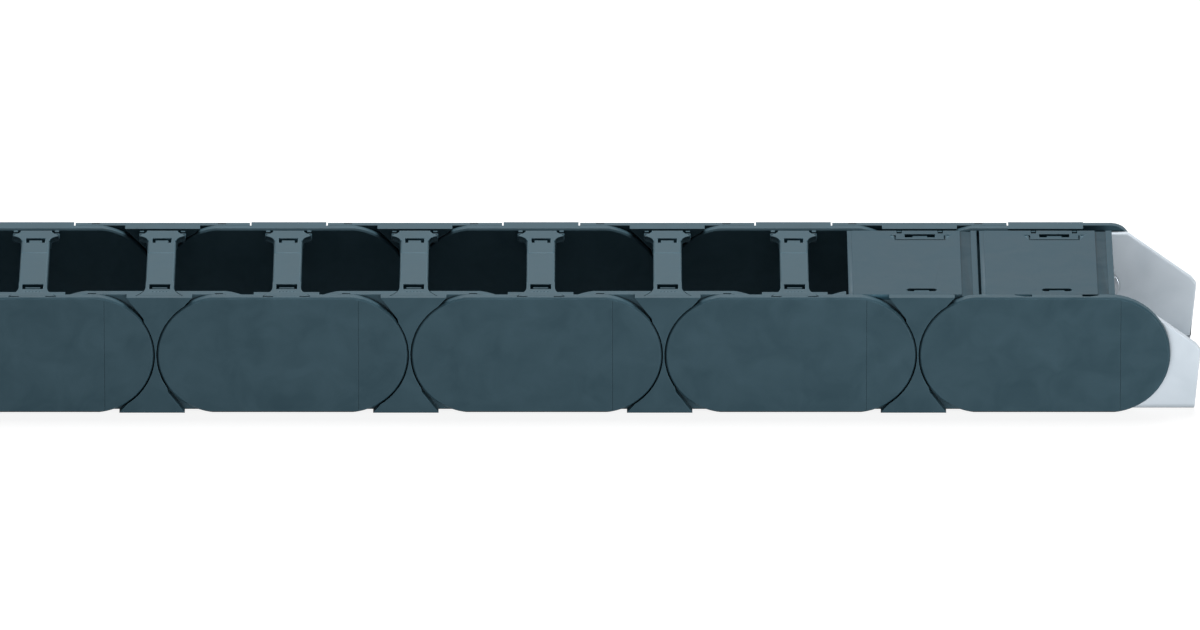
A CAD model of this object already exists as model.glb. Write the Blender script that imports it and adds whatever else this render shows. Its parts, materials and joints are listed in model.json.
import json
import math

import bmesh
import bpy
import numpy as np
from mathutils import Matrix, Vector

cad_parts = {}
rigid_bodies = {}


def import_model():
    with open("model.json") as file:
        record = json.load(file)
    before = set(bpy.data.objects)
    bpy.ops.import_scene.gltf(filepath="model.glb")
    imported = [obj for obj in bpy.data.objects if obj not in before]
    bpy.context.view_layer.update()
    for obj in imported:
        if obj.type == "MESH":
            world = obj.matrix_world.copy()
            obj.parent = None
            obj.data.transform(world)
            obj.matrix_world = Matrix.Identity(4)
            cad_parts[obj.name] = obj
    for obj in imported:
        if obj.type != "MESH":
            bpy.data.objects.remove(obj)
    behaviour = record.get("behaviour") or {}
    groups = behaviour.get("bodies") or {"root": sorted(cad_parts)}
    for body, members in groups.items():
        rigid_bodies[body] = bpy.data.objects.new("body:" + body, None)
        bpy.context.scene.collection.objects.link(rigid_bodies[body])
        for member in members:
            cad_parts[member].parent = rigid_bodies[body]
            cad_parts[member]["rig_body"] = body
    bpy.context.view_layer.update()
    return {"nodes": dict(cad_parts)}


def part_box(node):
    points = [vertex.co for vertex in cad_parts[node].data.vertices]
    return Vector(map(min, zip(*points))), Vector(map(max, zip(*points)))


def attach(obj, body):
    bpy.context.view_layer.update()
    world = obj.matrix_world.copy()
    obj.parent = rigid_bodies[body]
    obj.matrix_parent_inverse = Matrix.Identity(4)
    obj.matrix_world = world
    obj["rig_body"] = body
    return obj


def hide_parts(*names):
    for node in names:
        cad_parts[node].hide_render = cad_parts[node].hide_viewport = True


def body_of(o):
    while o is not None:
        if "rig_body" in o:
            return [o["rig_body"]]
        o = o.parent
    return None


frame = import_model()

# ---- Camera -------------------------------------------------------------
# A long lens a little above the front side band, square to the chain, close
# enough that the chain runs out of the view at its left end.
view_width = 0.6356
camera_tilt = math.radians(21.1)
lens_mm = 700.0
sensor_mm = 36.0
camera_distance = view_width * lens_mm / sensor_mm
left_of_last_link = 0.2346
view_level = 0.0337
last_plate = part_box("link11_front_plate")
last_link_middle = (last_plate[0].x + last_plate[1].x) / 2
view_middle = np.array([last_link_middle - left_of_last_link, 0.0, view_level])
camera_data = bpy.data.cameras.new("camera")
camera_data.lens = lens_mm
camera_data.sensor_width = sensor_mm
camera_data.clip_start = 0.5
camera = bpy.data.objects.new("camera", camera_data)
camera.location = view_middle + camera_distance * np.array(
    [0.0, -math.cos(camera_tilt), math.sin(camera_tilt)]
)
camera.rotation_euler = (math.pi / 2 - camera_tilt, 0.0, 0.0)
bpy.context.scene.collection.objects.link(camera)
bpy.context.scene.camera = camera
bpy.context.scene.view_settings.view_transform = "Standard"

# ---- Studio -------------------------------------------------------------
# A white surround, and a pale floor that keeps a faint soft shadow. One broad
# lamp hangs above and behind the chain; two low ones, no higher than its side
# bands, light them from outside and leave the channel between them dark.
def shows_white(nodes, links):
    """1 where a camera, glossy or transmission ray looks, 0 for other light."""
    path = nodes.new("ShaderNodeLightPath")
    seen = path.outputs["Is Camera Ray"]
    for kind in ("Is Glossy Ray", "Is Transmission Ray"):
        either = nodes.new("ShaderNodeMath")
        either.operation = "MAXIMUM"
        links.new(seen, either.inputs[0])
        links.new(path.outputs[kind], either.inputs[1])
        seen = either.outputs[0]
    return seen


world = bpy.data.worlds.new("surround")
world.use_nodes = True
bpy.context.scene.world = world
nodes, links = world.node_tree.nodes, world.node_tree.links
nodes.clear()
world_out = nodes.new("ShaderNodeOutputWorld")
world_mix = nodes.new("ShaderNodeMixShader")
world_light = nodes.new("ShaderNodeBackground")
world_light.inputs["Color"].default_value = (0.93, 0.97, 1.0, 1.0)
world_light.inputs["Strength"].default_value = 0.12
world_white = nodes.new("ShaderNodeBackground")
world_white.inputs["Color"].default_value = (1.0, 1.0, 1.0, 1.0)
world_white.inputs["Strength"].default_value = 1.0
links.new(shows_white(nodes, links), world_mix.inputs["Fac"])
links.new(world_light.outputs[0], world_mix.inputs[1])
links.new(world_white.outputs[0], world_mix.inputs[2])
links.new(world_mix.outputs[0], world_out.inputs["Surface"])

floor_half = 6.0
floor_level = -0.0003
floor_shade = (0.24, 0.24, 0.24, 1.0)
floor_brightness = 0.88
floor_mesh = bpy.data.meshes.new("floor")
floor_mesh.from_pydata(
    [
        (-floor_half, -floor_half, floor_level),
        (floor_half, -floor_half, floor_level),
        (floor_half, floor_half, floor_level),
        (-floor_half, floor_half, floor_level),
    ],
    [],
    [(0, 1, 2, 3)],
)
floor = bpy.data.objects.new("floor", floor_mesh)
bpy.context.scene.collection.objects.link(floor)
floor_material = bpy.data.materials.new("white_floor")
floor_material.use_nodes = True
nodes, links = floor_material.node_tree.nodes, floor_material.node_tree.links
nodes.clear()
floor_out = nodes.new("ShaderNodeOutputMaterial")
floor_sum = nodes.new("ShaderNodeAddShader")
floor_paint = nodes.new("ShaderNodeBsdfDiffuse")
floor_paint.inputs["Color"].default_value = floor_shade
floor_glow = nodes.new("ShaderNodeEmission")
floor_glow.inputs["Color"].default_value = (1.0, 1.0, 1.0, 1.0)
glow_level = nodes.new("ShaderNodeMath")
glow_level.operation = "MULTIPLY"
glow_level.inputs[1].default_value = floor_brightness
links.new(shows_white(nodes, links), glow_level.inputs[0])
links.new(glow_level.outputs[0], floor_glow.inputs["Strength"])
links.new(floor_paint.outputs[0], floor_sum.inputs[0])
links.new(floor_glow.outputs[0], floor_sum.inputs[1])
links.new(floor_sum.outputs[0], floor_out.inputs["Surface"])
floor_mesh.materials.append(floor_material)

for lamp_name, place, target, width, height, power in (
    ("lamp_above", (0.1, 0.8, 1.9), (0.1, 0.0, 0.0), 1.3, 1.2, 66.0),
    ("lamp_front", (0.1, -2.2, 0.034), (0.1, 0.0, 0.034), 3.0, 0.05, 33.0),
    ("lamp_right", (1.3, -0.95, 0.034), (0.38, 0.0, 0.034), 0.8, 0.05, 8.0),
):
    lamp_data = bpy.data.lights.new(lamp_name, "AREA")
    lamp_data.shape = "RECTANGLE"
    lamp_data.size = width
    lamp_data.size_y = height
    lamp_data.energy = power
    lamp = bpy.data.objects.new(lamp_name, lamp_data)
    lamp.location = place
    aim = np.array(target) - np.array(place)
    lamp.rotation_euler = (
        math.atan2(math.hypot(aim[0], aim[1]), -aim[2]),
        0.0,
        math.atan2(aim[1], aim[0]) - math.pi / 2,
    )
    bpy.context.scene.collection.objects.link(lamp)


# ---- Side plates --------------------------------------------------------
# Glass-filled nylon moulded in one with its pins, lugs and ledges: a dark
# blue-grey with a fine spark-eroded grain, faintly cloudy where the fibres
# lie, its edges rounded as moulded and rubbed a little paler.
def edges_and_recesses(nodes, links, radius, reach):
    """Three outputs for a finish. The normal of the surface with its edges
    rounded to a radius; how far that normal turns from the face's own, from
    0 on the flat to 1 on an edge; and how open the place is to the light
    within a reach, from 0 deep in a groove to 1 on a free surface."""
    cosine_on_flat, cosine_on_edge = 0.995, 0.75
    share_in_groove, share_in_open = 0.3, 0.9
    rounding = nodes.new("ShaderNodeBevel")
    rounding.samples = 6
    rounding.inputs["Radius"].default_value = radius
    face = nodes.new("ShaderNodeNewGeometry")
    alike = nodes.new("ShaderNodeVectorMath")
    alike.operation = "DOT_PRODUCT"
    on_edge = nodes.new("ShaderNodeMapRange")
    on_edge.inputs["From Min"].default_value = cosine_on_flat
    on_edge.inputs["From Max"].default_value = cosine_on_edge
    shut_in = nodes.new("ShaderNodeAmbientOcclusion")
    shut_in.samples = 8
    shut_in.inputs["Distance"].default_value = reach
    open_air = nodes.new("ShaderNodeMapRange")
    open_air.inputs["From Min"].default_value = share_in_groove
    open_air.inputs["From Max"].default_value = share_in_open
    links.new(rounding.outputs["Normal"], alike.inputs[0])
    links.new(face.outputs["True Normal"], alike.inputs[1])
    links.new(alike.outputs["Value"], on_edge.inputs["Value"])
    links.new(shut_in.outputs["AO"], open_air.inputs["Value"])
    return rounding.outputs["Normal"], on_edge.outputs["Result"], open_air.outputs["Result"]


def blended(nodes, links, factor, first, second):
    """A colour between two, each a tuple or another node's output."""
    mix = nodes.new("ShaderNodeMix")
    mix.data_type = "RGBA"
    links.new(factor, mix.inputs[0])
    for colour, socket in ((first, mix.inputs[6]), (second, mix.inputs[7])):
        if isinstance(colour, tuple):
            socket.default_value = (*colour, 1.0)
        else:
            links.new(colour, socket)
    return mix.outputs[2]


def streaked_noise(nodes, links, stretch, detail, spread):
    """Noise from 0 to 1 on the piece's own coordinates. stretch is how many
    waves run in a metre along X, Y and Z; spread is how much of the noise
    about its middle fills the range."""
    place = nodes.new("ShaderNodeTexCoord")
    scaled = nodes.new("ShaderNodeMapping")
    scaled.inputs["Scale"].default_value = stretch
    noise = nodes.new("ShaderNodeTexNoise")
    noise.inputs["Scale"].default_value = 1.0
    noise.inputs["Detail"].default_value = detail
    noise.inputs["Distortion"].default_value = 0.6
    fill = nodes.new("ShaderNodeMapRange")
    fill.inputs["From Min"].default_value = 0.5 - spread
    fill.inputs["From Max"].default_value = 0.5 + spread
    links.new(place.outputs["Object"], scaled.inputs["Vector"])
    links.new(scaled.outputs["Vector"], noise.inputs["Vector"])
    links.new(noise.outputs["Fac"], fill.inputs["Value"])
    return fill.outputs["Result"]


def finished(material, colour, clouds, rounded, height, roughness, depth, strength):
    """Joins a finish to its material: the colour; the height as a relief on
    the rounded normal, of a depth in metres and a strength; and a roughness
    that follows the clouds between two values."""
    nodes, links = material.node_tree.nodes, material.node_tree.links
    shader = nodes["Principled BSDF"]
    gloss = nodes.new("ShaderNodeMapRange")
    gloss.inputs["To Min"].default_value, gloss.inputs["To Max"].default_value = roughness
    relief = nodes.new("ShaderNodeBump")
    relief.inputs["Strength"].default_value = strength
    relief.inputs["Distance"].default_value = depth
    links.new(clouds, gloss.inputs["Value"])
    links.new(gloss.outputs["Result"], shader.inputs["Roughness"])
    links.new(colour, shader.inputs["Base Color"])
    links.new(height, relief.inputs["Height"])
    links.new(rounded, relief.inputs["Normal"])
    links.new(relief.outputs["Normal"], shader.inputs["Normal"])


def moulded_nylon(name, dark, pale, flow, wear, lowered=None):
    """Moulded plastic. Its colour runs from dark to pale by the clouds, is
    shifted a little by the flow of the melt, and is paler on the edges by the
    wear and darker in the grooves. lowered = (level, colour) gives what lies
    below a level its own colour. The height is a fine grain."""
    cloud_waves, grain_waves = (60.0, 60.0, 60.0), (2400.0, 2400.0, 2400.0)
    flow_share = 0.5
    edge_gain, groove_gain = 2.6, 0.06
    material = bpy.data.materials.new(name)
    material.use_nodes = True
    nodes, links = material.node_tree.nodes, material.node_tree.links
    nodes["Principled BSDF"].inputs["Specular IOR Level"].default_value = 0.12
    clouds = streaked_noise(nodes, links, cloud_waves, detail=4.0, spread=0.18)
    marks = streaked_noise(nodes, links, flow, detail=2.0, spread=0.2)
    colour = blended(nodes, links, clouds, dark, pale)
    between = tuple((low + high) / 2 for low, high in zip(dark, pale))
    part_marks = nodes.new("ShaderNodeMath")
    part_marks.operation = "MULTIPLY"
    part_marks.inputs[1].default_value = flow_share
    links.new(marks, part_marks.inputs[0])
    colour = blended(nodes, links, part_marks.outputs[0], colour, between)
    if lowered:
        place = nodes.new("ShaderNodeTexCoord")
        axes = nodes.new("ShaderNodeSeparateXYZ")
        below = nodes.new("ShaderNodeMath")
        below.operation = "LESS_THAN"
        below.inputs[1].default_value = lowered[0]
        links.new(place.outputs["Object"], axes.inputs[0])
        links.new(axes.outputs["Z"], below.inputs[0])
        colour = blended(nodes, links, below.outputs[0], colour, lowered[1])
    rounded, on_edge, open_air = edges_and_recesses(
        nodes, links, radius=0.0007, reach=0.0014
    )
    rubbed = nodes.new("ShaderNodeMath")
    rubbed.operation = "MULTIPLY"
    rubbed.inputs[1].default_value = wear
    links.new(on_edge, rubbed.inputs[0])
    edge = tuple(edge_gain * part for part in pale)
    groove = tuple(groove_gain * part for part in dark)
    colour = blended(nodes, links, rubbed.outputs[0], colour, edge)
    colour = blended(nodes, links, open_air, groove, colour)
    grain = streaked_noise(nodes, links, grain_waves, detail=3.0, spread=0.5)
    finished(
        material, colour, clouds, rounded, grain,
        roughness=(0.45, 0.57), depth=0.00004, strength=0.3,
    )
    return material


def dress(node, material):
    """Puts a material on a CAD node's own slots."""
    mesh = frame["nodes"][node].data
    mesh.materials.clear()
    mesh.materials.append(material)


plate_nylon = moulded_nylon(
    "plate_nylon",
    dark=(0.022, 0.052, 0.069),
    pale=(0.036, 0.073, 0.094),
    flow=(25.0, 90.0, 90.0),
    wear=0.5,
)
for node in frame["nodes"]:
    if node.endswith("_plate"):
        dress(node, plate_nylon)

# ---- Crossbars ----------------------------------------------------------
# The same nylon, lying on the ledges between the bands; the top bars turn on
# hinge pins. The melt fills a bar from one end, which leaves faint marks
# straight across it.
bar_nylon = moulded_nylon(
    "bar_nylon",
    dark=(0.025, 0.058, 0.076),
    pale=(0.036, 0.071, 0.091),
    flow=(15.0, 260.0, 40.0),
    wear=0.9,
)


def softened(node, width, material, small_steps=True):
    """A copy of a CAD node with rounded edges, which stands for it. Its loose
    triangles are merged and its flat faces made whole; every edge that turns
    far enough is cut back by the width and gets two facets, and normals
    weighted by area shade them as one curve. On a node with small steps,
    inner edges and those without room for the width stay sharp."""
    merge_distance = 1e-6
    flat_within = math.radians(1.0)
    edge_from = math.radians(40.0)
    crease_from = math.radians(35.0)
    shortest, least_room = 3.0 * width, 1.2 * width
    work = bmesh.new()
    work.from_mesh(frame["nodes"][node].data)
    bmesh.ops.remove_doubles(work, verts=work.verts, dist=merge_distance)
    bmesh.ops.dissolve_limit(
        work, angle_limit=flat_within, verts=work.verts, edges=work.edges
    )
    picked = []
    for edge in work.edges:
        turn = edge.calc_face_angle_signed(0.0)
        room = min(
            neighbour.calc_length() for vert in edge.verts for neighbour in vert.link_edges
        )
        fits = turn > 0.0 and edge.calc_length() > shortest and room > least_room
        if abs(turn) > edge_from and (fits or not small_steps):
            picked.append(edge)
    bmesh.ops.bevel(
        work, geom=picked, offset=width, offset_type="OFFSET", segments=2, profile=0.5,
        affect="EDGES", clamp_overlap=False,
    )
    bmesh.ops.triangulate(work, faces=work.faces)
    mesh = bpy.data.meshes.new(node + "_rounded")
    work.to_mesh(mesh)
    work.free()
    mesh.shade_smooth()
    mesh.set_sharp_from_angle(angle=crease_from)
    mesh.materials.append(material)
    piece = bpy.data.objects.new(node + "_rounded", mesh)
    bpy.context.scene.collection.objects.link(piece)
    weigh = piece.modifiers.new("weigh", "WEIGHTED_NORMAL")
    weigh.keep_sharp = True
    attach(piece, body_of(frame["nodes"][node])[0])
    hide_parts(node)


for node in frame["nodes"]:
    if node.endswith("crossbar"):
        softened(node, 0.0003, bar_nylon)

# ---- Lids ---------------------------------------------------------------
# Snap-on covers of the last two links, moulded from a slightly darker batch.
# The strip that is let into each lid's right side is etched rougher, which
# makes it look darker still.
lid_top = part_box("link10_lid")[1].z
strip_depth = 0.0008
lid_nylon = moulded_nylon(
    "lid_nylon",
    dark=(0.015, 0.043, 0.06),
    pale=(0.021, 0.051, 0.069),
    flow=(20.0, 60.0, 60.0),
    wear=0.6,
    lowered=(lid_top - strip_depth, (0.003, 0.023, 0.035)),
)
for node in frame["nodes"]:
    if node.endswith("_lid"):
        softened(node, 0.0002, lid_nylon)

# ---- End brackets -------------------------------------------------------
# Die-cast aluminium, tumbled to an even satin and left bare, with a fine
# pitted skin and edges that the tumbling has rounded and brightened.
cast_metal = bpy.data.materials.new("cast_metal")
cast_metal.use_nodes = True
nodes, links = cast_metal.node_tree.nodes, cast_metal.node_tree.links
nodes["Principled BSDF"].inputs["Metallic"].default_value = 0.3
dull_skin, bright_skin = (0.42, 0.475, 0.525), (0.48, 0.535, 0.585)
tumbled_edge, pitted_groove = (0.58, 0.64, 0.69), (0.12, 0.15, 0.17)
clouds = streaked_noise(nodes, links, (45.0, 45.0, 45.0), detail=5.0, spread=0.2)
colour = blended(nodes, links, clouds, dull_skin, bright_skin)
rounded, on_edge, open_air = edges_and_recesses(
    nodes, links, radius=0.0008, reach=0.0015
)
colour = blended(nodes, links, on_edge, colour, tumbled_edge)
colour = blended(nodes, links, open_air, pitted_groove, colour)
pits = streaked_noise(nodes, links, (1300.0, 1300.0, 1300.0), detail=4.0, spread=0.4)
finished(
    cast_metal, colour, clouds, rounded, pits,
    roughness=(0.42, 0.56), depth=0.00006, strength=0.35,
)
for node in frame["nodes"]:
    if "_bracket_" in node and not node.endswith("_stud"):
        softened(node, 0.0005, cast_metal, small_steps=False)

# ---- Bracket studs ------------------------------------------------------
# Steel studs turned on a lathe, which leaves fine rings round their axis,
# pressed through each bracket into the end link's plate.
ring_pitch = 0.00035
dull_steel, bright_steel = (0.28, 0.31, 0.34), (0.36, 0.39, 0.42)
turned_edge, oily_groove = (0.45, 0.48, 0.5), (0.08, 0.09, 0.1)
for node in frame["nodes"]:
    if not node.endswith("_stud"):
        continue
    low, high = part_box(node)
    turned_steel = bpy.data.materials.new(node + "_steel")
    turned_steel.use_nodes = True
    nodes, links = turned_steel.node_tree.nodes, turned_steel.node_tree.links
    nodes["Principled BSDF"].inputs["Metallic"].default_value = 1.0
    place = nodes.new("ShaderNodeTexCoord")
    centred = nodes.new("ShaderNodeMapping")
    centred.inputs["Location"].default_value = (
        -(low.x + high.x) / 2, 0.0, -(low.z + high.z) / 2
    )
    centred.inputs["Scale"].default_value = (1.0, 0.0, 1.0)
    radius = nodes.new("ShaderNodeVectorMath")
    radius.operation = "LENGTH"
    turns = nodes.new("ShaderNodeMath")
    turns.operation = "MULTIPLY"
    turns.inputs[1].default_value = 2 * math.pi / ring_pitch
    rings = nodes.new("ShaderNodeMath")
    rings.operation = "SINE"
    clouds = streaked_noise(nodes, links, (300.0, 300.0, 300.0), detail=3.0, spread=0.25)
    colour = blended(nodes, links, clouds, dull_steel, bright_steel)
    rounded, on_edge, open_air = edges_and_recesses(
        nodes, links, radius=0.0004, reach=0.001
    )
    colour = blended(nodes, links, on_edge, colour, turned_edge)
    colour = blended(nodes, links, open_air, oily_groove, colour)
    links.new(place.outputs["Object"], centred.inputs["Vector"])
    links.new(centred.outputs["Vector"], radius.inputs[0])
    links.new(radius.outputs["Value"], turns.inputs[0])
    links.new(turns.outputs[0], rings.inputs[0])
    finished(
        turned_steel, colour, clouds, rounded, rings.outputs[0],
        roughness=(0.26, 0.38), depth=0.00002, strength=0.3,
    )
    softened(node, 0.0003, turned_steel, small_steps=False)
